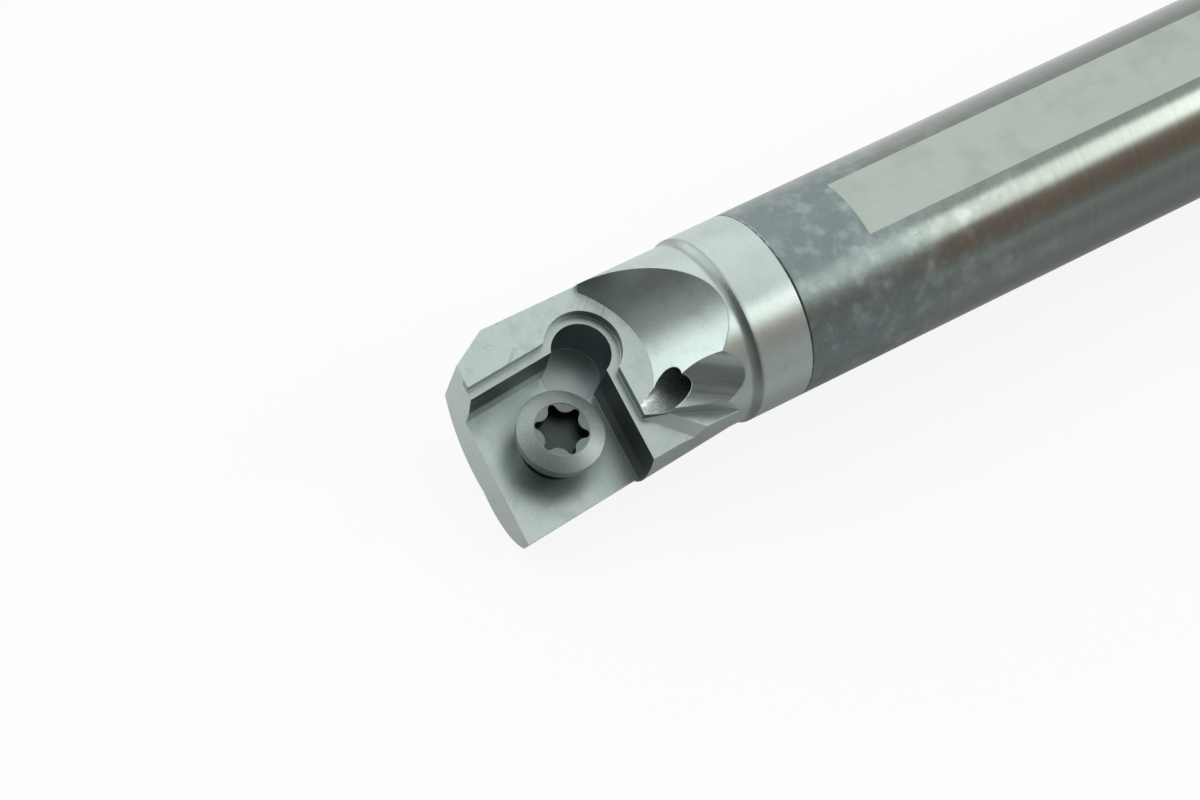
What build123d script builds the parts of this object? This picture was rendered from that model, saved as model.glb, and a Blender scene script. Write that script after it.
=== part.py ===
"""Boring bar: a solid carbide shank with a steel head brazed on, and the screw that clamps the insert.

Frame: +X runs along the bar to its cutting end, +Y is the cutting side, and +Z is up from the
bar's clamping flat. The origin is the centre of the shank's rear end. Lengths are in millimetres.
"""
from math import asin, cos, radians, sin, sqrt, tan
import os

from build123d import *

# ---- the bar ----------------------------------------------------------------------------------
SHANK_DIAMETER = 12.0
SHANK_LENGTH = 160.0
SHANK_REAR_CHAMFER = 0.5
FLAT_DEPTH = 0.42            # what the ground flat takes off the top of the shank
FLAT_TO_JOINT = 6.1          # full round shank left between the flat and the brazed joint
COOLANT_BORE_DIAMETER = 3.6
JOINT_BEVEL = 0.08           # edge break on each side of the brazed joint

# ---- the head's outside -----------------------------------------------------------------------
HEAD_REACH = 19.8            # brazed joint to the seat's nose corner
COLLAR_LENGTH = 3.75
NECK_RELIEF = 0.18           # the neck's radius is this much under the collar's
NECK_FILLET_RADIUS = 0.9     # hollow where the collar drops to the neck
CHEEK_INSET = 1.32           # the bulge under the seat is this much slimmer than the neck
CHEEK_Y = 2.0                # the bulge's centre, level with the nose corner
CHEEK_Z = -1.8
CHEEK_LEAD_TURN = -34.0      # way it moves out towards the nose, from +Y towards +Z
FAR_BEVEL_SETBACK = 2.1      # far front corner, measured along the bar
FAR_BEVEL_WIDTH = 1.2        # and across it

# ---- the insert seat --------------------------------------------------------------------------
INSERT_THICKNESS = 3.97
INSERT_CORNER_ANGLE = 80.0
EDGE_LEAD = 5.0              # both cutting edges lie this far off square to the bar
RADIAL_TILT = 13.5           # the seat leans out to the cutting side
SEAT_NOSE_Y = 5.65
SEAT_WIDTH = 8.39            # side edge to the far wall's foot
SEAT_DEPTH = 8.16            # front edge to the rear wall's foot
FRONT_CLEARANCE = 4.0
SIDE_CLEARANCE = 12.0
WALL_FOOT_HEIGHT = 1.35      # upright foot of the walls, under the leaning contact band
WALL_LEAN = 7.5
LEDGE_HEIGHT = 3.0
LEDGE_WIDTH = 0.56
LAND_HEIGHT = 3.62
RELIEF_RADIUS = 1.86
RELIEF_INSET = 1.08          # the relief's centre, from the corner of the two walls
RELIEF_EXTRA_DEPTH = 0.35

# ---- the gullet behind the seat ---------------------------------------------------------------
GULLET_RADIUS = 6.55
GULLET_X = -3.3              # where the cutter's axis meets the top land, from the nose
GULLET_Y = -8.55
GULLET_RISE = 49.7           # the cutter leans back from the land by this much off level
GULLET_TURN = -22.1

# ---- the coolant outlet -----------------------------------------------------------------------
OUTLET_DIAMETER = 2.15
OUTLET_X = -14.2             # where the outlet's axis passes the top land's level, from the nose
OUTLET_Y = -4.12
OUTLET_RISE = 11.9
OUTLET_TURN = 10.6
OUTLET_ROOT = 4.2            # how far it runs back from there, into the bore
SCALLOP_RADIUS = 2.76        # scoop that clears the outlet's mouth, cut out to the cutting side
SCALLOP_X = -11.8            # a point on the cutter's axis, from the nose
SCALLOP_Y = -1.46
SCALLOP_HEIGHT = 3.73        # over the top land
SCALLOP_RISE = 9.9
SCALLOP_TURN = -37.7
SCALLOP_ROOT = 4.3           # how far it runs back from that point, over the gullet
SHELF_START = 7.05           # along the rear ledge, from its corner to where the shelf turns off
SHELF_TURN = 23.5            # the shelf's wall, off the bar's axis
LEDGE_RAMP_TURN = 47.5       # ramp from the ledge up to the shelf, off the bar's axis
LEDGE_RAMP_SLOPE = 45.0
HEAD_BORE_DEPTH = 5.0
BORE_DRILL_HALF_POINT = 59.0

# ---- the insert screw -------------------------------------------------------------------------
SCREW_THREAD_DIAMETER = 3.5
SCREW_HEAD_DIAMETER = 5.4
SCREW_DOME_HEIGHT = 0.62
SCREW_BAND_HEIGHT = 0.8
SCREW_BAND_TAPER = 0.08      # the band's foot is this much smaller in radius
SCREW_CONE_HALF_ANGLE = 30.0
SCREW_CONE_GAP = 0.12        # from the cone's foot to the seat's floor, with no insert fitted
SCREW_SHIFT = 0.12           # screw set towards the walls so that it pulls the insert home
SCREW_TIP_DEPTH = 2.75
SCREW_TIP_CHAMFER = 0.35
THREAD_CLEARANCE = 0.05
SOCKET_TIP_DIAMETER = 3.35   # six-lobe socket, size 15, over its points
SOCKET_WAIST_DIAMETER = 2.35
SOCKET_POINT_RADIUS = 0.267
SOCKET_DEPTH = 1.35
SOCKET_TURN = 23.3
SOCKET_BEVEL_MARGIN = 0.05   # ring cut round the socket's points, past their radius
SOCKET_BEVEL_DEPTH = 0.04    # the ring's step under the dome
SOCKET_BEVEL_FALL = 0.09
SCREW_HOLE_CHAMFER = 0.2

# ---- worked out from the sizes above ----------------------------------------------------------
shank_radius = SHANK_DIAMETER / 2
flat_height = shank_radius - FLAT_DEPTH
neck_radius = shank_radius - NECK_RELIEF
cheek_radius = neck_radius - CHEEK_INSET
fillet_length = sqrt(2 * NECK_FILLET_RADIUS * NECK_RELIEF - NECK_RELIEF ** 2)
joint_x = SHANK_LENGTH
nose_x = joint_x + HEAD_REACH
corner_reach = 3 * SHANK_DIAMETER           # longer than any cut needs to be
blank_front_x = nose_x + 1.0                # the blank stands past the finished end face

screw_radius = SCREW_THREAD_DIAMETER / 2
screw_head_radius = SCREW_HEAD_DIAMETER / 2
band_foot_radius = screw_head_radius - SCREW_BAND_TAPER
cone_height = (band_foot_radius - screw_radius) / tan(radians(SCREW_CONE_HALF_ANGLE))
rim_height = SCREW_CONE_GAP + cone_height + SCREW_BAND_HEIGHT


def seat_plane(x=0.0, y=0.0, height=0.0):
    """Plane parallel to the seat's floor; x and y run from the nose corner along the floor."""
    tilt = radians(RADIAL_TILT)
    normal = Vector(0, sin(tilt), cos(tilt))
    nose = Vector(nose_x, SEAT_NOSE_Y, -INSERT_THICKNESS)
    across = Vector(0, cos(tilt), -sin(tilt))
    origin = nose + Vector(1, 0, 0) * x + across * y + normal * height
    return Plane(origin=origin, x_dir=(1, 0, 0), z_dir=normal)


def seat_direction(rise, turn):
    """Direction in the seat's frame: turned about its normal from +X, then raised off the floor."""
    flat = cos(radians(rise))
    local = Vector(flat * cos(radians(turn)), flat * sin(radians(turn)), sin(radians(rise)))
    return (seat_plane().x_dir * local.X + seat_plane().y_dir * local.Y
            + seat_plane().z_dir * local.Z)


# directions along the floor, from the nose corner inwards along each cutting edge
front_edge = Vector(-sin(radians(EDGE_LEAD)), -cos(radians(EDGE_LEAD)))
side_edge_turn = radians(90.0 - INSERT_CORNER_ANGLE - EDGE_LEAD)
side_edge = Vector(-cos(side_edge_turn), -sin(side_edge_turn))
edge_sine = sin(radians(INSERT_CORNER_ANGLE))
front_length = SEAT_WIDTH / edge_sine
side_length = SEAT_DEPTH / edge_sine
wall_corner = front_edge * front_length + side_edge * side_length
into_corner = wall_corner.normalized()
relief_centre = wall_corner - into_corner * RELIEF_INSET
wall_overhang = (LEDGE_HEIGHT - WALL_FOOT_HEIGHT) * tan(radians(WALL_LEAN))
ledge_corner = wall_corner + (front_edge + side_edge) * ((wall_overhang + LEDGE_WIDTH) / edge_sine)
ledge_turn_off = ledge_corner - front_edge * SHELF_START
screw_centre = wall_corner * 0.5 + into_corner * SCREW_SHIFT


def pocket_outline(grow=0.0):
    """Seat outline between the two walls, run out past both cutting edges."""
    corner = wall_corner + (front_edge + side_edge) * (grow / edge_sine)
    along_far_wall = corner - side_edge * corner_reach
    along_rear_wall = corner - front_edge * corner_reach
    outside = along_far_wall - front_edge * corner_reach
    points = [corner, along_far_wall, outside, along_rear_wall]
    return make_face(Polyline(*[(point.X, point.Y) for point in points], close=True))


def pocket_cut():
    """Everything the cutter takes out over the seat: upright foot, leaning walls and ledge."""
    foot = extrude(seat_plane() * pocket_outline(), WALL_FOOT_HEIGHT)
    band = loft([
        seat_plane(height=WALL_FOOT_HEIGHT) * pocket_outline(),
        seat_plane(height=LEDGE_HEIGHT) * pocket_outline(wall_overhang),
    ])
    ledge_outline = pocket_outline(wall_overhang + LEDGE_WIDTH)
    ledge = extrude(seat_plane(height=LEDGE_HEIGHT) * ledge_outline, SHANK_DIAMETER)
    relief_spot = seat_plane(relief_centre.X, relief_centre.Y, -RELIEF_EXTRA_DEPTH)
    relief = extrude(relief_spot * Circle(RELIEF_RADIUS), SHANK_DIAMETER)
    relief_ledge_spot = seat_plane(relief_centre.X, relief_centre.Y, LEDGE_HEIGHT)
    relief_ledge = extrude(relief_ledge_spot * Circle(RELIEF_RADIUS + LEDGE_WIDTH), SHANK_DIAMETER)
    return foot + band + ledge + relief + relief_ledge


def leaning_cylinder(x, y, rise, turn, radius, root, over_land=0.0):
    """Round cutter on an axis through x, y over the top land; it starts root behind that point."""
    direction = seat_direction(rise, turn)
    back_end = seat_plane(x, y, LAND_HEIGHT + over_land).origin - direction * root
    return extrude(Plane(origin=back_end, z_dir=direction) * Circle(radius), 2 * corner_reach)


def above_land(height=LAND_HEIGHT):
    """Block that holds everything over a level of the seat's frame."""
    block = Rectangle(2 * corner_reach, 2 * corner_reach)
    return extrude(seat_plane(-HEAD_REACH / 2, -shank_radius, height) * block, corner_reach)


def gullet_cut():
    """Top land and the bowl behind it, left by one cutter that leans back over the shank."""
    bowl = leaning_cylinder(GULLET_X, GULLET_Y, GULLET_RISE, 180 + GULLET_TURN, GULLET_RADIUS,
                            corner_reach)
    ahead = Rectangle(corner_reach, corner_reach, align=(Align.MIN, Align.CENTER))
    front = extrude(seat_plane(GULLET_X - GULLET_RADIUS, -SHANK_DIAMETER / 2, LAND_HEIGHT) * ahead,
                    corner_reach)
    return (bowl & above_land()) + front


def scallop_cut():
    """Scoop across the neck that clears the mouth of the coolant outlet."""
    return leaning_cylinder(SCALLOP_X, SCALLOP_Y, SCALLOP_RISE, 180 + SCALLOP_TURN, SCALLOP_RADIUS,
                            SCALLOP_ROOT, SCALLOP_HEIGHT)


def near_side_outline(turn_angle):
    """Floor outline on the cutting side of a line that turns off the rear ledge."""
    turn = radians(turn_angle)
    start = ledge_turn_off
    rearwards = Vector(-cos(turn), sin(turn))
    far_end = start + rearwards * corner_reach
    out = Vector(0, corner_reach)
    points = [start, far_end, far_end + out, Vector(0, corner_reach) + out, Vector(0, start.Y)]
    return make_face(Polyline(*[(point.X, point.Y) for point in points], close=True))


def shelf_cut():
    """Strip on the cutting side, level with the top land, beside the outlet's scallop."""
    return extrude(seat_plane(height=LAND_HEIGHT) * near_side_outline(SHELF_TURN), SHANK_DIAMETER)


def ledge_end_cut():
    """Where the rear ledge opens out to the cutting side, with a ramp up to the shelf."""
    turn = radians(LEDGE_RAMP_TURN)
    ramp_run = (LAND_HEIGHT - LEDGE_HEIGHT) / tan(radians(LEDGE_RAMP_SLOPE))
    rise = Vector(-sin(turn), -cos(turn)) * ramp_run
    low = near_side_outline(LEDGE_RAMP_TURN)
    ramp = loft([
        seat_plane(height=LEDGE_HEIGHT) * low,
        seat_plane(rise.X, rise.Y, LAND_HEIGHT) * low,
    ])
    keep_out = extrude(seat_plane(height=LEDGE_HEIGHT) * near_side_outline(SHELF_TURN), SHANK_DIAMETER)
    return ramp & keep_out


def outlet_cut():
    """Coolant outlet, from the bore inside the head out over the land towards the nose."""
    return leaning_cylinder(OUTLET_X, OUTLET_Y, OUTLET_RISE, OUTLET_TURN, OUTLET_DIAMETER / 2,
                            OUTLET_ROOT)


def head_blank():
    """Collar, neck and cheek before the seat is cut."""
    collar_x = joint_x + COLLAR_LENGTH
    neck_x = collar_x + fillet_length
    half_turn = asin(fillet_length / NECK_FILLET_RADIUS) / 2
    fillet_mid = (neck_x - NECK_FILLET_RADIUS * sin(half_turn),
                  neck_radius + NECK_FILLET_RADIUS * (1 - cos(half_turn)))
    front = Polyline((neck_x, neck_radius), (blank_front_x, neck_radius), (blank_front_x, 0),
                     (joint_x, 0), (joint_x, shank_radius - JOINT_BEVEL),
                     (joint_x + JOINT_BEVEL, shank_radius), (collar_x, shank_radius))
    fillet = ThreePointArc((collar_x, shank_radius), fillet_mid, (neck_x, neck_radius))
    turned = revolve(make_face([*front.edges(), fillet]), Axis.X)
    return turned + cheek()


def cheek():
    """Skewed round bulge that follows the side cutting edge and dies into the neck."""
    turn = radians(CHEEK_LEAD_TURN)
    lead = tan(radians(EDGE_LEAD))
    run = Vector(-1, -lead * cos(turn), -lead * sin(turn)).normalized()
    length = (blank_front_x - joint_x - COLLAR_LENGTH / 2) / abs(run.X)
    centre = Vector(nose_x, CHEEK_Y, CHEEK_Z) - run * ((blank_front_x - nose_x) / abs(run.X))
    section = Plane(origin=centre, x_dir=(0, 1, 0), z_dir=(1, 0, 0)) * Circle(cheek_radius)
    return extrude(section, length, dir=run)


def side_block(edge, clearance, outwards):
    """Block outside a cutting edge, which leans in under the edge by the clearance angle."""
    along = edge.normalized()
    lean = radians(clearance)
    seat = seat_plane()
    along_world = seat.x_dir * along.X + seat.y_dir * along.Y
    out_world = seat.x_dir * outwards.X + seat.y_dir * outwards.Y
    normal = out_world * cos(lean) - seat.z_dir * sin(lean)
    face = Plane(origin=seat.origin, x_dir=along_world, z_dir=normal)
    return extrude(face * Rectangle(2 * corner_reach, 2 * corner_reach), corner_reach)


def front_cut():
    """End face, square to the front cutting edge and set back under it."""
    outwards = Vector(cos(radians(EDGE_LEAD)), -sin(radians(EDGE_LEAD)))
    return side_block(front_edge, FRONT_CLEARANCE, outwards)


def flank_cut():
    """Flank under the side cutting edge."""
    outwards = Vector(-sin(side_edge_turn), cos(side_edge_turn))
    block = side_block(side_edge, SIDE_CLEARANCE, outwards)
    below = extrude(seat_plane() * Rectangle(2 * side_length, 2 * corner_reach), -SHANK_DIAMETER)
    return block & below


def far_bevel_cut():
    """Bevel on the front corner of the top land, away from the cutting side."""
    half_chord = sqrt(neck_radius ** 2 - land_to_axis() ** 2)
    far_y = -half_chord - nose_along_floor()
    corner_x = front_edge.X / front_edge.Y * far_y
    start = Vector(corner_x - FAR_BEVEL_SETBACK, far_y)
    end_y = far_y + FAR_BEVEL_WIDTH
    end = Vector(front_edge.X / front_edge.Y * end_y, end_y)
    run = (end - start).normalized()
    points = [start - run * SHANK_DIAMETER, end + run * SHANK_DIAMETER,
              end + run * SHANK_DIAMETER + Vector(SHANK_DIAMETER, -SHANK_DIAMETER),
              start - run * SHANK_DIAMETER + Vector(SHANK_DIAMETER, -SHANK_DIAMETER)]
    outline = make_face(Polyline(*[(point.X, point.Y) for point in points], close=True))
    return extrude(seat_plane() * outline, SHANK_DIAMETER, both=True)


def nose_along_floor():
    """The nose corner's place along the floor, from the foot of the axis."""
    tilt = radians(RADIAL_TILT)
    return SEAT_NOSE_Y * cos(tilt) + INSERT_THICKNESS * sin(tilt)


def land_to_axis():
    """Height of the top land over the bar's axis, square to the land."""
    tilt = radians(RADIAL_TILT)
    return SEAT_NOSE_Y * sin(tilt) - INSERT_THICKNESS * cos(tilt) + LAND_HEIGHT


def head_bore():
    """End of the coolant bore, with the cone its drill leaves."""
    radius = COOLANT_BORE_DIAMETER / 2
    tip = radius / tan(radians(BORE_DRILL_HALF_POINT))
    end_x = joint_x + HEAD_BORE_DEPTH
    profile = Polyline((joint_x, 0), (joint_x, radius), (end_x - tip, radius), (end_x, 0), close=True)
    return revolve(make_face(profile), Axis.X)


def screw_hole():
    """Tapped hole for the insert screw, through the head, with its edge broken at the floor."""
    radius = screw_radius + THREAD_CLEARANCE
    spot = seat_plane(screw_centre.X, screw_centre.Y)
    hole = extrude(spot * Circle(radius), -SHANK_DIAMETER)
    profile = Polyline((0, 0), (radius + SCREW_HOLE_CHAMFER, 0), (radius, -SCREW_HOLE_CHAMFER),
                       (0, -SCREW_HOLE_CHAMFER), close=True)
    edge = revolve(make_face(Plane.XZ * profile), Axis.Z)
    return hole + spot.location * edge


def make_shank():
    """Carbide shank: a ground round with a clamping flat and a coolant bore."""
    profile = Polyline(
        (0, 0), (0, shank_radius - SHANK_REAR_CHAMFER), (SHANK_REAR_CHAMFER, shank_radius),
        (joint_x - JOINT_BEVEL, shank_radius), (joint_x, shank_radius - JOINT_BEVEL), (joint_x, 0),
        close=True,
    )
    body = revolve(make_face(Plane.XZ * profile), Axis.X)    # seam on top, where the flat is cut
    bore = extrude(Plane.YZ * Circle(COOLANT_BORE_DIAMETER / 2), joint_x)
    flat_length = joint_x - FLAT_TO_JOINT
    flat = Pos(flat_length / 2, 0, flat_height + FLAT_DEPTH) * Box(
        flat_length, SHANK_DIAMETER, 2 * FLAT_DEPTH)
    return body - bore - flat


def make_head():
    """Steel head: collar, neck and cheek with the insert seat, gullet and coolant outlet."""
    head = head_blank() - front_cut() - flank_cut() - pocket_cut() - gullet_cut()
    head = head - scallop_cut() - shelf_cut() - ledge_end_cut() - outlet_cut() - head_bore()
    head = head - screw_hole() - far_bevel_cut()
    return head.solids().sort_by(SortBy.VOLUME)[-1]     # drops any crumb between the cutters


def six_lobe_outline():
    """Six-lobe socket outline: tip arcs and waist arcs that meet at a tangent."""
    tip_centre = SOCKET_TIP_DIAMETER / 2 - SOCKET_POINT_RADIUS
    waist = SOCKET_WAIST_DIAMETER / 2
    # the waist arc touches the tip arc: solve for the waist arc's radius
    chord = tip_centre ** 2 + waist ** 2 - 2 * tip_centre * waist * cos(radians(30))
    pull = 2 * (SOCKET_POINT_RADIUS - waist + tip_centre * cos(radians(30)))
    waist_radius = (chord - SOCKET_POINT_RADIUS ** 2) / pull
    arcs = []
    for lobe in range(6):
        tip_turn = SOCKET_TURN + 60 * lobe
        tip = polar(tip_centre, tip_turn)
        before = polar(waist + waist_radius, tip_turn - 30)
        after = polar(waist + waist_radius, tip_turn + 30)
        next_tip = polar(tip_centre, tip_turn + 60)
        enter = tip + (before - tip).normalized() * SOCKET_POINT_RADIUS
        leave = tip + (after - tip).normalized() * SOCKET_POINT_RADIUS
        following = next_tip + (after - next_tip).normalized() * SOCKET_POINT_RADIUS
        arcs.append(ThreePointArc(enter, polar(SOCKET_TIP_DIAMETER / 2, tip_turn), leave))
        arcs.append(ThreePointArc(leave, polar(waist, tip_turn + 30), following))
    return make_face(arcs)


def polar(radius, turn):
    """Point in a plane from its radius and its angle in degrees."""
    return Vector(radius * cos(radians(turn)), radius * sin(radians(turn)))


def make_insert_screw():
    """Clamping screw: domed head on a cone, short thread and a six-lobe socket."""
    dome_top = rim_height + SCREW_DOME_HEIGHT
    dome_sphere = (screw_head_radius ** 2 + SCREW_DOME_HEIGHT ** 2) / (2 * SCREW_DOME_HEIGHT)
    mid_turn = asin(screw_head_radius / dome_sphere) / 2
    dome_mid = (dome_sphere * sin(mid_turn), dome_top - dome_sphere * (1 - cos(mid_turn)))
    dome = ThreePointArc((0, dome_top), dome_mid, (screw_head_radius, rim_height))
    sides = Polyline(
        (screw_head_radius, rim_height), (band_foot_radius, rim_height - SCREW_BAND_HEIGHT),
        (screw_radius, SCREW_CONE_GAP), (screw_radius, SCREW_TIP_CHAMFER - SCREW_TIP_DEPTH),
        (screw_radius - SCREW_TIP_CHAMFER, -SCREW_TIP_DEPTH), (0, -SCREW_TIP_DEPTH), (0, dome_top),
    )
    body = revolve(Plane.XZ * make_face([dome, sides]), Axis.Z)
    socket = extrude(Pos(0, 0, dome_top) * six_lobe_outline(), -SOCKET_DEPTH)
    bevel_radius = SOCKET_TIP_DIAMETER / 2 + SOCKET_BEVEL_MARGIN
    dome_fall = dome_sphere - sqrt(dome_sphere ** 2 - bevel_radius ** 2)
    bevel_z = dome_top - dome_fall - SOCKET_BEVEL_DEPTH
    bevel_profile = Polyline(
        (0, dome_top + SCREW_DOME_HEIGHT), (bevel_radius, dome_top + SCREW_DOME_HEIGHT),
        (bevel_radius, bevel_z), (SOCKET_WAIST_DIAMETER / 2, bevel_z - SOCKET_BEVEL_FALL),
        (0, bevel_z - SOCKET_BEVEL_FALL), close=True)
    bevel_profile = make_face(bevel_profile)
    bevel = revolve(Plane.XZ * bevel_profile, Axis.Z)
    return seat_plane(screw_centre.X, screw_centre.Y).location * (body - socket - bevel)


PARTS = {"shank": make_shank, "head": make_head, "insert_screw": make_insert_screw}

os.makedirs("parts", exist_ok=True)
for name, maker in PARTS.items():
    piece = maker()
    solids = piece.solids()
    print(name, len(solids), "solid(s),", round(sum(solid.volume for solid in solids), 2), "mm3")
    export_step(solids[0] if len(solids) == 1 else Compound(solids), f"parts/{name}.step")
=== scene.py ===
# %% [markdown]
# # A boring bar, dressed in steel and carbide
# The shapes of this bar come from a packed CAD model: a ground carbide shank, a steel head that is
# brazed to its end, and the small screw that would hold a cutting insert in the head's pocket.
# This lesson keeps those shapes as they are. It gives each one the finish that the real metal has,
# adds the line of braze between shank and head, and sets up a plain bright studio.

# %% Load the packed model
import math

import bpy
from mathutils import Matrix, Vector


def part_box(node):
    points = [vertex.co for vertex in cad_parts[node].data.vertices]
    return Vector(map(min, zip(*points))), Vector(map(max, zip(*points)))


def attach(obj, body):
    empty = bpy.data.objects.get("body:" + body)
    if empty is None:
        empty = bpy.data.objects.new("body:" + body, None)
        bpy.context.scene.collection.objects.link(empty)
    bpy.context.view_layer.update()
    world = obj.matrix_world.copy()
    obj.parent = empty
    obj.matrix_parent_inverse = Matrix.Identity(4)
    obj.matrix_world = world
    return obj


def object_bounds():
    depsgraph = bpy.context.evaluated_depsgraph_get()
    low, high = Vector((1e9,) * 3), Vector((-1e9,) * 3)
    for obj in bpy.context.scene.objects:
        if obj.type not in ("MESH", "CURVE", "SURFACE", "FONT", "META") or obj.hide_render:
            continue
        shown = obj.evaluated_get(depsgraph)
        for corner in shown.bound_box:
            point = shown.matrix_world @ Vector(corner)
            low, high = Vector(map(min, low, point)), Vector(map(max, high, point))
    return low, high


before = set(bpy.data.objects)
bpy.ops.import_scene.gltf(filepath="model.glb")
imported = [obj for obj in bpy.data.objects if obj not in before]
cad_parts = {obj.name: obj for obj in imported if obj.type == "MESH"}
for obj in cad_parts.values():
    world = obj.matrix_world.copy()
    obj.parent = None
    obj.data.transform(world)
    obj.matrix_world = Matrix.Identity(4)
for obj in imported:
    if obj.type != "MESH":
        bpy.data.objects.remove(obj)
cad_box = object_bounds()
print("CAD box:", cad_box)

# %% [markdown]
# ## Places and sizes
# The patterns of a machined part follow its machining. Turned faces have rings about the bar's axis,
# and the pocket is milled square to its own tilted floor. So the places that the materials need are
# written once here: the joint, the pocket's floor with its own three directions, and the axis of
# each round cutter. Blender works in metres and the materials in millimetres, so a place along the
# bar is held in metres, and a height or a radius that only a material reads is in millimetres.

# %% Places on the bar
MM = 0.001
FLAT_DEPTH = 0.42 * MM
FLAT_TO_JOINT = 6.1 * MM
COLLAR_LENGTH = 3.75 * MM
BAR_WAY = (1, 0, 0)
TOP_WAY = (0, 0, 1)

shank_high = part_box("shank")[1]
head_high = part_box("head")[1]
joint_x = shank_high.x
shank_radius = shank_high.y
flat_height = shank_radius - FLAT_DEPTH
flat_front = joint_x - FLAT_TO_JOINT
collar_end = joint_x + COLLAR_LENGTH
print("joint at", round(joint_x / MM, 2), "mm, head out to", round(head_high.x / MM, 2), "mm")

# %% The pocket's own directions
SEAT_LEAN = math.radians(13.5)
NOSE_ACROSS = 5.65 * MM
NOSE_UP = -3.97 * MM

seat_nose = Vector((head_high.x, NOSE_ACROSS, NOSE_UP))
seat_up = Vector((0, math.sin(SEAT_LEAN), math.cos(SEAT_LEAN)))
seat_across = Vector((0, math.cos(SEAT_LEAN), -math.sin(SEAT_LEAN)))


def seat_point(back, inward, up):
    """Place from millimetres behind the nose corner, in from it and up from the pocket's floor."""
    return seat_nose + (Vector((-back, 0, 0)) - seat_across * inward + seat_up * up) * MM


def seat_way(rise, turn):
    """Direction turned about the floor's normal from +X, then raised off the floor, in degrees."""
    rise, turn = math.radians(rise), math.radians(turn)
    level = Vector((math.cos(turn), 0, 0)) + seat_across * math.sin(turn)
    return level * math.cos(rise) + seat_up * math.sin(rise)


print("pocket floor leans", round(math.degrees(SEAT_LEAN), 1), "degrees")

# %% Heights and round cuts of the pocket
LEDGE_HEIGHT = 3.0
LAND_HEIGHT = 3.62
RELIEF_RADIUS = 1.86
GULLET_RADIUS = 6.55
SCALLOP_RADIUS = 2.76
SCALLOP_HEIGHT = 7.35
OUTLET_RADIUS = 1.075
POCKET_BACK = 11.3
POCKET_INWARD = 11.4

relief_axis = (seat_point(8.24, 8.44, 0), seat_up)
screw_axis = (seat_point(4.58, 4.69, 0), seat_up)
gullet_axis = (seat_point(3.3, 8.55, LAND_HEIGHT), seat_way(49.7, 157.9))
scallop_axis = (seat_point(11.8, 1.46, SCALLOP_HEIGHT), seat_way(9.9, 142.3))
outlet_axis = (seat_point(14.2, 4.12, LAND_HEIGHT), seat_way(11.9, 10.6))
print("screw stands at", [round(v / MM, 2) for v in screw_axis[0]], "mm")

# %% [markdown]
# ## Writing shader maths as plain sums
# A material is a small network of nodes. Built by hand, each sum is a Math node with two links, and
# ten of them hide what the material does. A thin class around a socket lets the same network be
# written as an expression: `mask * 0.5 + grain` adds its Math nodes by itself. Every other node,
# such as a noise texture or a colour mix, comes from one method that takes its type, its settings
# and the values or links of its sockets.

# %% A socket that can be added and multiplied
class Wire:
    """One output socket of a network, with sums written as Python operators."""

    def __init__(self, network, socket):
        self.network = network
        self.socket = socket

    def _math(self, operation, *values, clamp=False):
        settings = {"operation": operation, "use_clamp": clamp}
        return self.network.node("ShaderNodeMath", settings, dict(enumerate(values)))["Value"]

    def __add__(self, other): return self._math("ADD", self, other)
    def __radd__(self, other): return self._math("ADD", other, self)
    def __sub__(self, other): return self._math("SUBTRACT", self, other)
    def __rsub__(self, other): return self._math("SUBTRACT", other, self)
    def __mul__(self, other): return self._math("MULTIPLY", self, other)
    def __rmul__(self, other): return self._math("MULTIPLY", other, self)
    def __truediv__(self, other): return self._math("DIVIDE", self, other)
    def __rtruediv__(self, other): return self._math("DIVIDE", other, self)
    def __neg__(self): return self._math("MULTIPLY", self, -1.0)
    def __abs__(self): return self._math("ABSOLUTE", self)
    def __gt__(self, other): return self._math("GREATER_THAN", self, other)
    def __lt__(self, other): return self._math("LESS_THAN", self, other)
    def limit(self): return self._math("ADD", self, 0.0, clamp=True)
    def root(self): return self._math("SQRT", self)

    def step(self, low, high):
        """0 below low, 1 above high and a soft slope between them."""
        slope = ((self - low) / (high - low)).limit()
        return slope * slope * (3 - 2 * slope)

    def between(self, low, high, soft):
        """1 from low to high, fading to 0 over the soft width outside."""
        return self.step(low - soft, low) * (1 - self.step(high, high + soft))


print("Wire calls:", [name for name, call in vars(Wire).items() if callable(call)])

# %% The method that adds any other node
class Network:
    """A node tree, and the calls that add nodes to it."""

    def __init__(self, tree):
        self.tree = tree

    def node(self, kind, settings=None, sockets=None):
        """Adds one node, sets it up, feeds its sockets and returns its outputs by name."""
        made = self.tree.nodes.new(kind)
        for key, value in (settings or {}).items():
            setattr(made, key, value)
        for key, value in (sockets or {}).items():
            self.feed(made.inputs[key], value)
        return {out.name: Wire(self, out) for out in reversed(made.outputs) if out.enabled}

    def feed(self, socket, value):
        """Links a wire to a socket, or sets the socket's own value."""
        if isinstance(value, Wire):
            self.tree.links.new(value.socket, socket)
        else:
            socket.default_value = value

    def dot(self, vector, other):
        """How far a vector goes along another, which is a wire or a direction in numbers."""
        if not isinstance(other, Wire):
            other = tuple(Vector(other).normalized())
        return self.node("ShaderNodeVectorMath", {"operation": "DOT_PRODUCT"},
                         {0: vector, 1: other})["Value"]

    def blend(self, mask, below, above):
        """Mixes two colours; mask 0 gives the first and 1 the second."""
        return self.node("ShaderNodeMix", {"data_type": "RGBA"},
                         {"Factor": mask, 6: below, 7: above})["Result"]

    def coats(self, colour, *coats):
        """Lays coats over a colour in turn; each is a mask and a colour."""
        for mask, coat in coats:
            colour = self.blend(mask, colour, coat)
        return colour


print("Network calls:", [name for name in vars(Network) if not name.startswith("__")])

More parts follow.
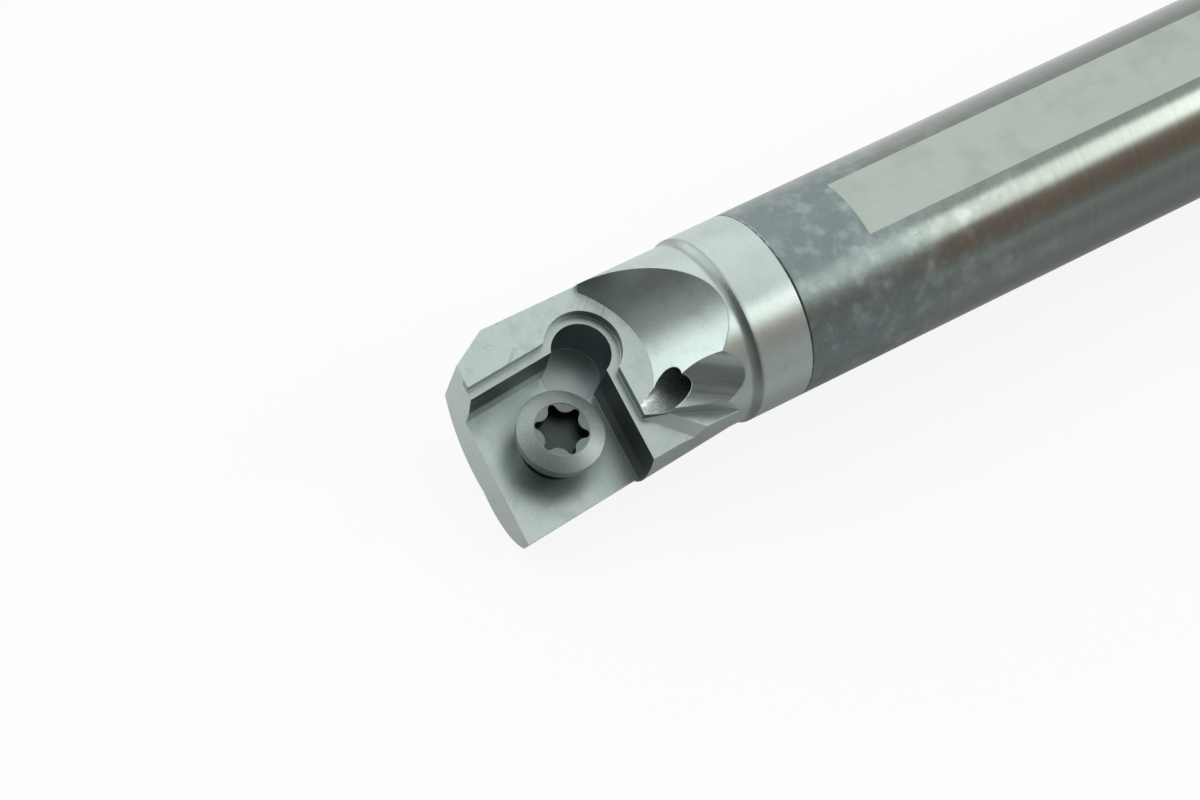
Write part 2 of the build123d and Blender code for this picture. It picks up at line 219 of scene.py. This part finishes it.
# %% [markdown]
# ## What a metal finish needs
# Four things come up in every finish here. A distance along a direction, or off the axis of a round
# cutter, says where a mark belongs. Grain is noise that may be drawn out along the way a tool moved.
# A bump turns such grain into shallow scratches. And wear along edges comes from the Bevel node: close
# to a sharp edge its rounded normal differs from the flat one, and there the metal is rubbed bright.

# %% A finish and its calls
class Finish(Network):
    """A material in the making."""

    def __init__(self, name):
        self.material = bpy.data.materials.new(name)
        self.material.use_nodes = True
        super().__init__(self.material.node_tree)
        self.shader = self.tree.nodes["Principled BSDF"]
        coordinates = self.node("ShaderNodeTexCoord")
        self.place = coordinates["Object"]
        self.facing = coordinates["Normal"]

    def set(self, **sockets):
        """Feeds the shader's own sockets; an underscore stands for a space."""
        for key, value in sockets.items():
            self.feed(self.shader.inputs[key.replace("_", " ")], value)

    def along(self, direction, origin=(0, 0, 0)):
        """Distance in millimetres along a direction, from an origin in metres."""
        direction = Vector(direction).normalized()
        return (self.dot(self.place, direction) - direction.dot(Vector(origin))) * (1 / MM)

    def off_axis(self, axis):
        """Distance in millimetres from the line through a point in a direction."""
        point, direction = axis
        side = direction.orthogonal().normalized()
        first, second = self.along(side, point), self.along(direction.cross(side), point)
        return (first * first + second * second).root()

    def turned_to(self, direction):
        """How far the surface faces a direction, from -1 to 1."""
        return self.dot(self.facing, direction)

    def noise(self, vector, scale, detail, rough):
        """Plain noise from 0 to 1."""
        return self.node("ShaderNodeTexNoise", {"noise_dimensions": "3D"},
                         {"Vector": vector, "Scale": scale, "Detail": detail,
                          "Roughness": rough})["Fac"]

    def grain(self, fine, detail=3.0, way=None, stretch=1.0, rough=0.55):
        """Noise with about `fine` marks to a millimetre, drawn out along a way if one is given."""
        vector, scale = self.place, fine / MM
        if way is not None:
            way = Vector(way).normalized()
            side = way.orthogonal().normalized()
            parts = {"X": self.along(side), "Y": self.along(way.cross(side)),
                     "Z": self.along(way) / stretch}
            vector, scale = self.node("ShaderNodeCombineXYZ", {}, parts)["Vector"], fine
        return self.noise(vector, scale, detail, rough)

    def rings(self, fine, detail):
        """Turning lines: noise that changes along the bar's axis alone."""
        line = self.node("ShaderNodeCombineXYZ", {}, {"X": self.along(BAR_WAY)})["Vector"]
        return self.noise(line, fine, detail, rough=0.7)

    def bump(self, height, depth_mm, strength, normal=None):
        """Turns a height from 0 to 1 into a normal, for marks of a real depth."""
        sockets = {"Height": height, "Distance": depth_mm * MM, "Strength": strength}
        if normal is not None:
            sockets["Normal"] = normal
        return self.node("ShaderNodeBump", {}, sockets)["Normal"]

    def edge_wear(self, width_mm):
        """A mask that is 1 close to a sharp edge, and the rounded normal that finds it."""
        rounded = self.node("ShaderNodeBevel", {"samples": 6}, {"Radius": width_mm * MM})["Normal"]
        flat = self.node("ShaderNodeNewGeometry")["Normal"]
        return (1 - self.dot(rounded, flat)).step(0.01, 0.2), rounded


def tone(red, green, blue):
    """A colour in linear light, as a colour socket takes it."""
    return red, green, blue, 1


WHITE = tone(1, 1, 1)
BLACK = tone(0, 0, 0)
print("Finish calls:", [name for name in vars(Finish) if not name.startswith("__")])

# %% [markdown]
# ## Ground carbide for the shank
# Cemented carbide is a dark, heavy metal. Centreless grinding leaves it close to a mirror, with very
# fine lines around it that blur a reflection a little. Close to the joint the heat of brazing has
# left cloudy blue-grey stains with pale flecks in them. The clamping flat is ground along its length
# with a coarser wheel, so it is paler and matt. One material holds all of this: masks made from the
# position say where each finish starts, and noise breaks up the rest.

# %% Tones of the shank
CARBIDE_DARK = tone(0.180, 0.204, 0.186)
CARBIDE_PALE = tone(0.262, 0.294, 0.268)
HEAT_STAIN = tone(0.182, 0.240, 0.245)
PALE_FLECK = tone(0.40, 0.48, 0.48)
FLAT_DARK = tone(0.405, 0.454, 0.417)
FLAT_PALE = tone(0.458, 0.513, 0.471)
WIPED_SMUDGE = tone(0.318, 0.360, 0.332)
RUBBED_CARBIDE = tone(0.50, 0.53, 0.51)
print("carbide from", CARBIDE_DARK, "to", CARBIDE_PALE)

# %% Heat stains near the joint
def heat_marks(finish, behind):
    """Masks of the clouds, the soft mottle and the flecks, which thin out behind the joint."""
    clouds = finish.grain(0.21, detail=5, rough=0.62)
    spots = finish.node("ShaderNodeTexVoronoi", {"voronoi_dimensions": "3D", "feature": "SMOOTH_F1"},
                        {"Vector": finish.place, "Scale": 0.85 / MM, "Smoothness": 0.6})["Distance"]
    near = 1 - behind.step(3.0, 19.0)
    stain = (clouds * 0.5 + 0.5 * near).step(0.46, 0.66) * near
    mottle = finish.grain(0.62, detail=4, rough=0.6).step(0.44, 0.72) * (1 - behind.step(7.0, 26.0))
    fleck = (1 - spots.step(0.12, 0.42)) * clouds.step(0.36, 0.62) * (1 - behind.step(5.0, 26.0))
    return {"near": near, "stain": stain, "mottle": mottle, "fleck": fleck}


print("heat_marks:", heat_marks.__doc__)

# %% Finish of the shank
def ground_carbide():
    finish = Finish("ground_carbide")
    x, z = finish.along(BAR_WAY), finish.along(TOP_WAY)
    on_flat = (z > flat_height / MM - 0.02) * (finish.turned_to(TOP_WAY) > 0.98) \
        * (x < flat_front / MM + 0.01)
    lines = finish.rings(2.6, detail=4)
    dust = finish.grain(2.6, detail=2)
    heat = heat_marks(finish, joint_x / MM - x)
    body = finish.blend(lines, CARBIDE_DARK, CARBIDE_PALE)
    pale_marks = heat["fleck"] * 0.34 + heat["mottle"] * 0.42 + (dust - 0.5) * 0.5 * heat["near"]
    body = finish.coats(body, (heat["stain"] * 0.7, HEAT_STAIN), (pale_marks.limit(), PALE_FLECK))
    # the flat: pale, drawn out along the bar, with faint wiped smudges
    drawn = finish.grain(5.2, way=BAR_WAY, stretch=30)
    smudges = finish.grain(0.33, detail=4)
    pale = finish.blend(drawn, FLAT_DARK, FLAT_PALE)
    pale = finish.blend(smudges.step(0.48, 0.68) * 0.35, pale, WIPED_SMUDGE)
    worn, rounded = finish.edge_wear(0.07)
    colour = finish.coats(body, (on_flat, pale), (worn * 0.35, RUBBED_CARBIDE))
    rough = 0.15 + lines * 0.08 + heat["stain"] * 0.14 + heat["fleck"] * 0.10 + (dust - 0.5) * 0.04
    rough = rough * (1 - on_flat) + (0.44 + smudges * 0.12) * on_flat
    height = lines * (1 - on_flat) * 0.5 + drawn * on_flat + heat["fleck"] * 0.4
    finish.set(Base_Color=colour, Metallic=1.0, Roughness=rough.limit(),
               Normal=finish.bump(height, 0.004, 0.5, rounded))
    return finish.material


carbide = ground_carbide()
print(carbide.name, "has", len(carbide.node_tree.nodes), "nodes")

# %% [markdown]
# ## Machined steel for the head
# The head is steel with a pale satin plating. Its outside was turned, so fine rings run round the
# collar and the neck, and the hollow between them is given painted shade. The pocket, the land above
# it and the scoops were milled with the part held at an angle, so their marks are read in the pocket's
# own directions. The steep walls of the pocket and its round corner relief are dull, and their dark
# tone is painted shade, with a painted reflection at the foot of the far wall. A mask for each of
# these comes first. Then the finish is laid on as coats, each a mask and a colour: the satin metal,
# the pocket's film with its painted shade and the walls, and last the round cuts.

# %% Masks of the pocket
def pocket_masks(finish):
    """Where each face of the pocket is, and the place behind the nose and over the floor."""
    back = -finish.along(BAR_WAY, seat_nose)
    inward = -finish.along(seat_across, seat_nose)
    up = finish.along(seat_up, seat_nose)
    level = finish.turned_to(seat_up)
    flat = level > 0.98
    leaning = abs(level) < 0.6
    inside = (back < POCKET_BACK) * (inward < POCKET_INWARD)
    wall = leaning * (up < LEDGE_HEIGHT + 0.02) * (up > -0.5)
    step_wall = leaning * (up > LEDGE_HEIGHT - 0.02) * (up < LAND_HEIGHT - 0.02) * (back > 0.05)
    bevelled_corner = (inward > 9.8) * (back < 3)
    # each wall faces the open side, and starts a little before its foot
    far_wall = (finish.turned_to(seat_across) > 0.8) * (inward > 7.4) * wall
    rear_wall = (finish.turned_to(BAR_WAY) > 0.8) * (back > 6.9) * wall
    on_ramp = finish.turned_to((0.52, 0.63, 0.58)) > 0.97
    return {"back": back, "up": up,
            "floor": flat * (up < 0.06) * inside, "relief_floor": flat * (up < -0.2) * inside,
            "land": flat * (up > LEDGE_HEIGHT - 0.1) * (up < LAND_HEIGHT + 0.13),
            "ledge": flat * (up > LEDGE_HEIGHT - 0.1) * (up < LEDGE_HEIGHT + 0.1),
            "ramp": on_ramp * (up > LEDGE_HEIGHT - 0.05) * (up < LAND_HEIGHT + 0.04),
            "step_wall": step_wall * inside * (1 - bevelled_corner),
            "far_wall": far_wall * inside, "rear_wall": rear_wall * inside,
            "relief": (finish.off_axis(relief_axis) < RELIEF_RADIUS + 0.07) * wall}


print("pocket's ledge is", LEDGE_HEIGHT, "mm over its floor and the land", LAND_HEIGHT, "mm")

# %% Masks of the round cuts
def cut_masks(finish):
    """1 on the surface that a round cutter left, by the distance from its axis."""
    soft = 0.02
    over_land = finish.along(seat_up, seat_nose) > LAND_HEIGHT + 0.01
    gullet = finish.off_axis(gullet_axis).between(GULLET_RADIUS - 0.05, GULLET_RADIUS + 0.05, soft)
    gullet = gullet * over_land
    scallop = finish.off_axis(scallop_axis).between(SCALLOP_RADIUS - 0.04, SCALLOP_RADIUS + 0.04, soft)
    outlet = finish.off_axis(outlet_axis).between(OUTLET_RADIUS - 0.075, OUTLET_RADIUS + 0.025, soft)
    return {"gullet": gullet, "scallop": scallop * (1 - gullet), "outlet": outlet}


print("scallop runs along", [round(v, 2) for v in scallop_axis[1]])

# %% Tones of the head's metal
STEEL_DARK = tone(0.385, 0.462, 0.448)
STEEL_PALE = tone(0.505, 0.585, 0.562)
TURNED_RING = tone(0.58, 0.655, 0.635)
MILLED_LINE = tone(0.53, 0.61, 0.59)
PATINA = tone(0.325, 0.395, 0.385)
PALE_SPECK = tone(0.60, 0.68, 0.655)
THIN_SCRATCH = tone(0.235, 0.275, 0.27)
LEDGE_SHADE = tone(0.34, 0.405, 0.39)
NECK_HOLLOW_SHADE = tone(0.13, 0.15, 0.15)
RUBBED_STEEL = tone(0.68, 0.75, 0.73)
print("steel from", STEEL_DARK, "to", STEEL_PALE)

# %% Tones of the pocket and the scoops
# painted shade on the walls, the step and the relief, a painted reflection at the far wall's foot and
# painted light on the ramp
FILM_AND_SHADE = tone(0.205, 0.250, 0.243)
FAR_WALL_SHADE = tone(0.22, 0.26, 0.265)
FAR_WALL_FOOT_REFLECTION = tone(0.46, 0.525, 0.52)
REAR_WALL_SHADE = tone(0.135, 0.162, 0.165)
RELIEF_WALL_SHADE = tone(0.25, 0.295, 0.31)
RELIEF_FLOOR_SHADE = tone(0.31, 0.37, 0.365)
RAMP_PAINTED_LIGHT = tone(0.80, 0.87, 0.85)
STEP_WALL_SHADE = tone(0.12, 0.145, 0.145)
SCALLOP_DARK = tone(0.34, 0.40, 0.39)
SCALLOP_PALE = tone(0.53, 0.61, 0.59)
OUTLET_DARK = tone(0.40, 0.47, 0.455)
OUTLET_PALE = tone(0.74, 0.81, 0.79)
print("darkest wall", STEP_WALL_SHADE, "and palest", FAR_WALL_FOOT_REFLECTION)

# %% Marks that the tools and the years left on the head
def head_marks(finish):
    """The noises of the head: rings, clouds, specks, patina, scratches and cutter lines."""
    return {"rings": finish.rings(3.4, detail=6), "cloud": finish.grain(0.30, detail=4),
            "speckle": finish.grain(6.5, detail=2),
            "drawn": finish.grain(4.0, detail=3, way=seat_way(0, 84), stretch=24),
            "scratch": finish.grain(2.2, detail=1, way=seat_way(0, 38), stretch=26),
            "patina": finish.grain(0.85, detail=5, rough=0.62).step(0.48, 0.74),
            "cutter_lines": finish.grain(3.2, detail=4, way=scallop_axis[1], stretch=30, rough=0.7)}


print("the land is milled along", [round(v, 2) for v in seat_way(0, 84)])

# %% Satin metal with its marks
def satin_metal(finish, marks, masks, outside, milled):
    """Turned rings outside, milled lines in the pocket, then a blotchy patina and a fine grain, and
    painted shade on the ledge.
    """
    thin = (1 - abs(marks["scratch"] - 0.5) * 34).limit() * (marks["cloud"] > 0.52) * masks["land"]
    return finish.coats(finish.blend(marks["cloud"], STEEL_DARK, STEEL_PALE),
                        (outside * marks["rings"] * 0.7, TURNED_RING),
                        (milled * marks["drawn"] * 0.5, MILLED_LINE),
                        (marks["patina"] * (0.55 - outside * 0.35), PATINA),
                        (marks["speckle"].step(0.50, 0.72) * 0.30, PALE_SPECK),
                        (thin * 0.45, THIN_SCRATCH), (masks["ledge"] * 0.45, LEDGE_SHADE))


print("satin_metal:", satin_metal.__doc__)

# %% Film and walls of the pocket, with painted shade, reflection and light
def pocket_tones(finish, colour, marks, masks, step_wall):
    """A blotchy film on the floor with painted shade round the screw and by the rear wall; painted
    shade on the walls, a painted reflection at the far wall's foot and painted light on the ramp.
    """
    shade_round_screw = 1 - finish.off_axis(screw_axis).step(2.6, 3.9)
    # painted shade round the screw and towards the rear wall, mixed with a blotchy film
    film_and_shade = 0.46 * shade_round_screw + (marks["cloud"] - 0.5) * 0.6 + masks["back"].step(4.6, 7.0) * 0.30
    foot = 1 - masks["up"].step(1.25, 1.42)
    # the ramp is given painted light, a pale tone in place of the dark that it mirrors
    return finish.coats(colour, ((film_and_shade * masks["floor"]).limit(), FILM_AND_SHADE),
                        (masks["far_wall"], finish.blend(foot, FAR_WALL_SHADE, FAR_WALL_FOOT_REFLECTION)),
                        (masks["rear_wall"], REAR_WALL_SHADE), (masks["relief"], RELIEF_WALL_SHADE),
                        (masks["relief_floor"] * 0.6, RELIEF_FLOOR_SHADE), (masks["ramp"] * 0.7, RAMP_PAINTED_LIGHT),
                        (step_wall * 0.75, STEP_WALL_SHADE))


print("pocket_tones:", pocket_tones.__doc__)

# %% Finish of the head
def machined_steel():
    finish = Finish("machined_steel")
    x = finish.along(BAR_WAY)
    marks, masks, cuts = head_marks(finish), pocket_masks(finish), cut_masks(finish)
    rings, cloud, speckle = marks["rings"], marks["cloud"], marks["speckle"]
    milled = (masks["floor"] + masks["land"]).limit()
    step_wall = masks["step_wall"] * (1 - cuts["outlet"])
    outside = (1 - milled - cuts["gullet"] - cuts["scallop"]).limit() * (x < collar_end / MM + 3.5)
    colour = satin_metal(finish, marks, masks, outside, milled)
    colour = pocket_tones(finish, colour, marks, masks, step_wall)
    # the scoop beside the outlet keeps the lines of its cutter; the outlet is speckled, and its tones
    # are painted light, paler than its shaded bore would show
    scooped = finish.blend(marks["cutter_lines"].step(0.3, 0.7), SCALLOP_DARK, SCALLOP_PALE)
    spotted_painted_light = finish.blend(speckle.step(0.34, 0.66), OUTLET_DARK, OUTLET_PALE)
    # painted shade in the hollow between collar and neck, made uneven by the clouds
    hollow = x.between(collar_end / MM + 0.04, collar_end / MM + 0.46, 0.30) * outside
    worn, rounded = finish.edge_wear(0.06)
    colour = finish.coats(colour, (cuts["scallop"] * 0.85, scooped), (cuts["outlet"] * 0.75, spotted_painted_light),
                          (hollow * (0.30 + cloud * 0.6), NECK_HOLLOW_SHADE),
                          (worn * (0.6 - outside * 0.35), RUBBED_STEEL))
    walls = (masks["far_wall"] + masks["rear_wall"] + masks["relief"]).limit()
    rough = 0.31 + (cloud - 0.5) * 0.10 + (speckle - 0.5) * 0.05 + outside * (rings - 0.5) * 0.12
    rough = rough + walls * 0.16 + milled * 0.05 - cuts["gullet"] * 0.02 + masks["ramp"] * 0.4 \
        + cuts["outlet"] * 0.12
    height = rings * outside + marks["drawn"] * milled * 0.8 \
        + marks["cutter_lines"] * cuts["scallop"] \
        + speckle * (0.45 + outside * 0.35 + cuts["gullet"] * 0.5)
    finish.set(Base_Color=colour, Metallic=1.0, Roughness=rough.limit(),
               Normal=finish.bump(height, 0.006, 0.5, rounded))
    return finish.material


steel = machined_steel()
print(steel.name, "has", len(steel.node_tree.nodes), "nodes")

# %% [markdown]
# ## The etched screw
# The clamping screw is a small hardened part. Its surface is etched rather than polished, a dull grey
# that scatters light, with a fine speckle and a bright rim where fingers and a driver have touched it.
# The socket is given painted shade, much darker than the dome and a little lighter towards its floor.

# %% Tones of the screw, and how far its socket reaches off its axis
ETCHED_DARK = tone(0.225, 0.268, 0.260)
ETCHED_PALE = tone(0.290, 0.340, 0.330)
ETCHED_SPECK = tone(0.42, 0.475, 0.46)
SOCKET_REACH = 1.74
SOCKET_SHADE_TOP = tone(0.030, 0.036, 0.036)
SOCKET_SHADE_FLOOR = tone(0.080, 0.100, 0.098)
SOCKET_RING = tone(0.150, 0.180, 0.176)
RUBBED_RIM = tone(0.52, 0.575, 0.56)
print("etched metal from", ETCHED_DARK, "to", ETCHED_PALE)

# %% Finish of the screw
def etched_screw():
    finish = Finish("etched_screw")
    speckle = finish.grain(5.2, detail=4, rough=0.7)
    cloud = finish.grain(0.7, detail=3)
    high = finish.along(seat_up, seat_nose)
    # the socket and the fine ring step at its mouth, by height over the pocket's floor
    within_ring = finish.off_axis(screw_axis) < SOCKET_REACH
    in_socket = within_ring * (1 - high.step(2.60, 2.70))
    deep = 1 - high.step(1.75, 2.5)
    # painted shade in the socket, lighter towards its floor
    dark = finish.blend(deep * 0.5 + cloud * 0.3, SOCKET_SHADE_TOP, SOCKET_SHADE_FLOOR)
    worn, rounded = finish.edge_wear(0.06)
    colour = finish.coats(finish.blend(cloud, ETCHED_DARK, ETCHED_PALE),
                          (speckle.step(0.52, 0.70) * 0.45, ETCHED_SPECK),
                          (within_ring * (high < 2.80) * 0.75, SOCKET_RING), (in_socket, dark),
                          (worn * (1 - in_socket) * 0.55, RUBBED_RIM))
    rough = 0.45 + (speckle - 0.5) * 0.16
    finish.set(Base_Color=colour, Metallic=1.0, Roughness=rough.limit(),
               Normal=finish.bump(speckle, 0.006, 0.5, rounded))
    return finish.material


etched = etched_screw()
print(etched.name, "has", len(etched.node_tree.nodes), "nodes")

# %% Put the finishes on the CAD nodes
for node_name, finish_material in (("shank", carbide), ("head", steel), ("insert_screw", etched)):
    mesh_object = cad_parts[node_name]
    for material_slot in mesh_object.material_slots:
        material_slot.material = finish_material
    print(node_name, "wears", [s.material.name for s in mesh_object.material_slots])

# %% [markdown]
# ## The line of braze
# Shank and head meet face to face, and each has a fine broken edge. On the real bar the braze fills
# the small groove that these edges leave, a thin dark ring. It could be painted on as a stripe, but a
# real ring catches light as the metal does. A circle is drawn about the bar's axis, extruded along
# it in edit mode, and the middle of the band is pulled in a little, as braze shrinks when it cools.
# Both rims are then extruded inwards, so that no open edge shows from the side.

# %% Sizes of the ring of braze
BRAZE_HALF_WIDTH = 0.055 * MM
BRAZE_BELOW_SURFACE = 0.035 * MM
BRAZE_WAIST = 0.9925
BRAZE_RIM = 0.982
AROUND = 160
print("the band is", round(2 * BRAZE_HALF_WIDTH / MM, 3), "mm wide")

# %% Model the ring of braze
def braze_ring():
    bpy.ops.object.select_all(action="DESELECT")
    bpy.ops.mesh.primitive_circle_add(
        vertices=AROUND, radius=shank_radius - BRAZE_BELOW_SURFACE,
        location=(joint_x - BRAZE_HALF_WIDTH, 0, 0), rotation=(0, math.pi / 2, 0))
    ring = bpy.context.object
    ring.name = "braze_line"
    bpy.ops.object.transform_apply(location=True, rotation=True, scale=True)
    bpy.ops.object.mode_set(mode="EDIT")
    bpy.ops.mesh.select_all(action="SELECT")
    for shrink in (BRAZE_WAIST, 1 / BRAZE_WAIST):
        bpy.ops.mesh.extrude_edges_move(TRANSFORM_OT_translate={"value": (BRAZE_HALF_WIDTH, 0, 0)})
        bpy.ops.transform.resize(value=(1, shrink, shrink), center_override=(joint_x, 0, 0))
    for side in (-1, 1):
        bpy.ops.mesh.select_all(action="DESELECT")
        bpy.ops.object.mode_set(mode="OBJECT")
        edge_x = joint_x + side * BRAZE_HALF_WIDTH
        for vertex in ring.data.vertices:
            vertex.select = abs(vertex.co.x - edge_x) < 0.004 * MM
        bpy.ops.object.mode_set(mode="EDIT")
        bpy.ops.mesh.select_mode(type="VERT")
        bpy.ops.mesh.extrude_edges_move(TRANSFORM_OT_translate={"value": (0, 0, 0)})
        bpy.ops.transform.resize(value=(1, BRAZE_RIM, BRAZE_RIM), center_override=(edge_x, 0, 0))
    bpy.ops.mesh.select_all(action="SELECT")
    bpy.ops.mesh.remove_doubles(threshold=0.0005 * MM)
    bpy.ops.mesh.normals_make_consistent(inside=False)
    bpy.ops.object.mode_set(mode="OBJECT")
    bpy.ops.object.shade_smooth_by_angle(angle=math.radians(35))
    return ring


braze = braze_ring()
print(braze.name, "has", len(braze.data.polygons), "faces, out to",
      round(max(math.hypot(v.co.y, v.co.z) for v in braze.data.vertices) / MM, 3), "mm")

# %% Finish of the braze
BRAZE_DARK = tone(0.085, 0.085, 0.080)
BRAZE_PALE = tone(0.16, 0.155, 0.14)


def dull_braze():
    finish = Finish("dull_braze")
    specks = finish.grain(3.0, detail=4)
    finish.set(Base_Color=finish.blend(specks, BRAZE_DARK, BRAZE_PALE), Metallic=1.0,
               Roughness=0.42 + specks * 0.15, Normal=finish.bump(specks, 0.006, 0.6))
    return finish.material


braze.data.materials.append(dull_braze())
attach(braze, "bar")
print("braze rides on the bar")

# %% [markdown]
# ## A plain bright studio
# The bar lies on a pale floor, which the camera sees as white and which keeps a soft part of the
# shadow. A metal shows little but its surroundings, so what stands around it matters more here than
# for a painted thing. Bright cards to the far side light the land and the scoop, and the side towards
# the camera is left dim, because a dark room behind the camera is what gives a bright metal its
# contrast. All of that is painted into the sky as a few soft patches, each around one direction.

# %% Floor
FLOOR_SIZE = 6.0
FLOOR_MIDDLE_X = 0.1
floor_z = cad_box[0][2]
bpy.ops.object.select_all(action="DESELECT")
bpy.ops.mesh.primitive_plane_add(size=FLOOR_SIZE, location=(FLOOR_MIDDLE_X, 0, floor_z))
floor = bpy.context.object
floor.name = "studio_floor"
bpy.ops.object.transform_apply(location=True, rotation=True, scale=True)
print("floor at", round(floor_z / MM, 2), "mm")

# %% Finish of the floor
SEEN_GLOW = 0.88
MIRRORED_GLOW = 0.90
FLOOR_GREY = tone(0.88, 0.88, 0.88)


def pale_floor():
    finish = Finish("pale_floor")
    finish.set(Base_Color=FLOOR_GREY, Roughness=0.9, Specular_IOR_Level=0.1)
    rays = finish.node("ShaderNodeLightPath")
    seen = (rays["Is Camera Ray"] + rays["Is Transmission Ray"]).limit()
    mirrored = rays["Is Glossy Ray"] * (1 - seen)
    # what the metal sees of the floor: light on the far side, dimmer towards the camera, and
    # shaded close under the bar
    side, ahead = finish.along((0, 1, 0)), finish.along(BAR_WAY, (joint_x, 0, 0))
    far_side = 1 - side.step(-30, 30)
    under = (1 - abs(side).step(5, 15)) * (1 - ahead.step(6, 18))
    front = finish.along((0.86, 0.5, 0), (joint_x, 0, 0)).step(5, 60)
    level = 0.42 + 0.58 * far_side - 0.45 * front * (1 - far_side) + 0.14 * side.step(20, 80)
    level = (level * (1 - 0.50 * under)).limit()
    shade = finish.blend(mirrored * (1 - level), WHITE, BLACK)
    glow = finish.node("ShaderNodeEmission", {}, {"Color": shade, "Strength": 1.0})["Emission"]
    lit = Wire(finish, finish.shader.outputs["BSDF"])
    mixed = finish.node("ShaderNodeMixShader", {},
                        {0: seen * SEEN_GLOW + mirrored * MIRRORED_GLOW, 1: lit, 2: glow})["Shader"]
    output = next(n for n in finish.tree.nodes if n.type == "OUTPUT_MATERIAL")
    finish.tree.links.new(mixed.socket, output.inputs["Surface"])
    return finish.material


floor.data.materials.append(pale_floor())
print("floor wears", floor.data.materials[0].name)

# %% Sky
SKY_LIGHT = 0.56
WARM = tone(1.0, 0.67, 0.53)


def studio_sky():
    world = bpy.data.worlds.new("studio_sky")
    world.use_nodes = True
    sky = Network(world.node_tree)
    way = sky.node("ShaderNodeTexCoord")["Generated"]

    def patch(direction, full, none):
        """1 within `full` degrees of a direction, fading to 0 at `none` degrees."""
        return sky.dot(way, direction).step(math.cos(math.radians(none)), math.cos(math.radians(full)))

    overhead_card = patch((-0.44, -0.23, 0.87), full=14, none=42)
    far_card = patch((0.40, -0.82, 0.41), full=20, none=56)
    far_room = patch((-0.45, -0.89, 0.05), full=20, none=50)
    dim_side = patch((0.15, 0.97, 0.18), full=38, none=52)
    dim_camera = patch((0.62, 0.50, 0.60), full=28, none=56)
    light = SKY_LIGHT + overhead_card * 0.54 + far_card * 1.25 + far_room * 0.30
    light = light * (1 - dim_side * 0.26) * (1 - dim_camera * 0.56)
    # the camera itself sees plain white; the shank's near side mirrors a small warm patch
    camera = sky.node("ShaderNodeLightPath")["Is Camera Ray"]
    warm = patch((-0.68, 0.66, 0.30), full=8, none=24) * (1 - camera)
    background = world.node_tree.nodes["Background"]
    sky.feed(background.inputs["Color"], sky.blend(warm, WHITE, WARM))
    sky.feed(background.inputs["Strength"], light * (1 - camera) + camera)
    return world


bpy.context.scene.world = studio_sky()
print("sky:", len(bpy.context.scene.world.node_tree.nodes), "nodes")

# %% [markdown]
# ## The lamps along the bar
# Two long soft lamps hang in line with the bar, past its rear end, and lean over the cutting side.
# They stand one behind the other. The ground shank mirrors the far, bright one as a sharp band below
# its flat. The near one is shorter and dimmer, so the band weakens towards the joint, and the
# collar catches a part of it.

# %% Lamps
LAMP_DISTANCE = 0.6
LAMP_COLOUR = (1.0, 0.99, 0.95)


def band_lamp(name, near_end, far_end, width, lean, radiance):
    """A long lamp in line with the bar, between two places on X, leant over by some degrees."""
    length = near_end - far_end
    lamp = bpy.data.lights.new(name, "AREA")
    lamp.shape = "RECTANGLE"
    lamp.size, lamp.size_y = length, width
    lamp.energy = radiance * math.pi * length * width
    lamp.color = LAMP_COLOUR
    holder = bpy.data.objects.new(name, lamp)
    bpy.context.scene.collection.objects.link(holder)
    middle = Matrix.Translation(((near_end + far_end) / 2, 0, LAMP_DISTANCE))
    holder.matrix_world = Matrix.Rotation(math.radians(-lean), 4, "X") @ middle
    return holder


lamps = [band_lamp("band_lamp", near_end=-0.25, far_end=-0.85, width=0.22, lean=36.5, radiance=5.4),
         band_lamp("collar_lamp", near_end=-0.12, far_end=-0.25, width=0.25, lean=39.5, radiance=2.0)]
for lamp in lamps:
    print(lamp.name, "gives", round(lamp.data.energy, 2), "W")

# %% [markdown]
# ## The camera
# A long lens from above and in front of the cutting side shows the pocket, the scoops and the joint
# at once. Its place is measured from the joint, and its three axes follow from two tilts and a roll.

# %% Camera
LENS_MM = 123.7
SENSOR_WIDTH_MM = 36.0
SIDEWAYS = math.radians(23.6)
OVER = math.radians(30.44)
ROLL = math.radians(205.74)
camera_place = Vector((joint_x + 109.96 * MM, 114.59 * MM, 193.03 * MM))


def aim_camera():
    back = Vector((math.sin(SIDEWAYS), math.cos(SIDEWAYS) * math.sin(OVER),
                   math.cos(SIDEWAYS) * math.cos(OVER)))
    bar_way = Vector(BAR_WAY)
    first = (bar_way - back * bar_way.dot(back)).normalized()
    second = back.cross(first)
    right = first * math.cos(ROLL) - second * math.sin(ROLL)
    up = first * math.sin(ROLL) + second * math.cos(ROLL)
    camera_data = bpy.data.cameras.new("bench_camera")
    camera_data.lens = LENS_MM
    camera_data.sensor_width = SENSOR_WIDTH_MM
    camera_data.clip_start = 0.01
    camera = bpy.data.objects.new("bench_camera", camera_data)
    bpy.context.scene.collection.objects.link(camera)
    turn = Matrix((right, up, back)).transposed().to_4x4()
    turn.translation = camera_place
    camera.matrix_world = turn
    bpy.context.scene.camera = camera
    return camera


camera = aim_camera()
bpy.context.scene.view_settings.view_transform = "Standard"
print("camera at", [round(v / MM, 1) for v in camera.matrix_world.translation], "mm")
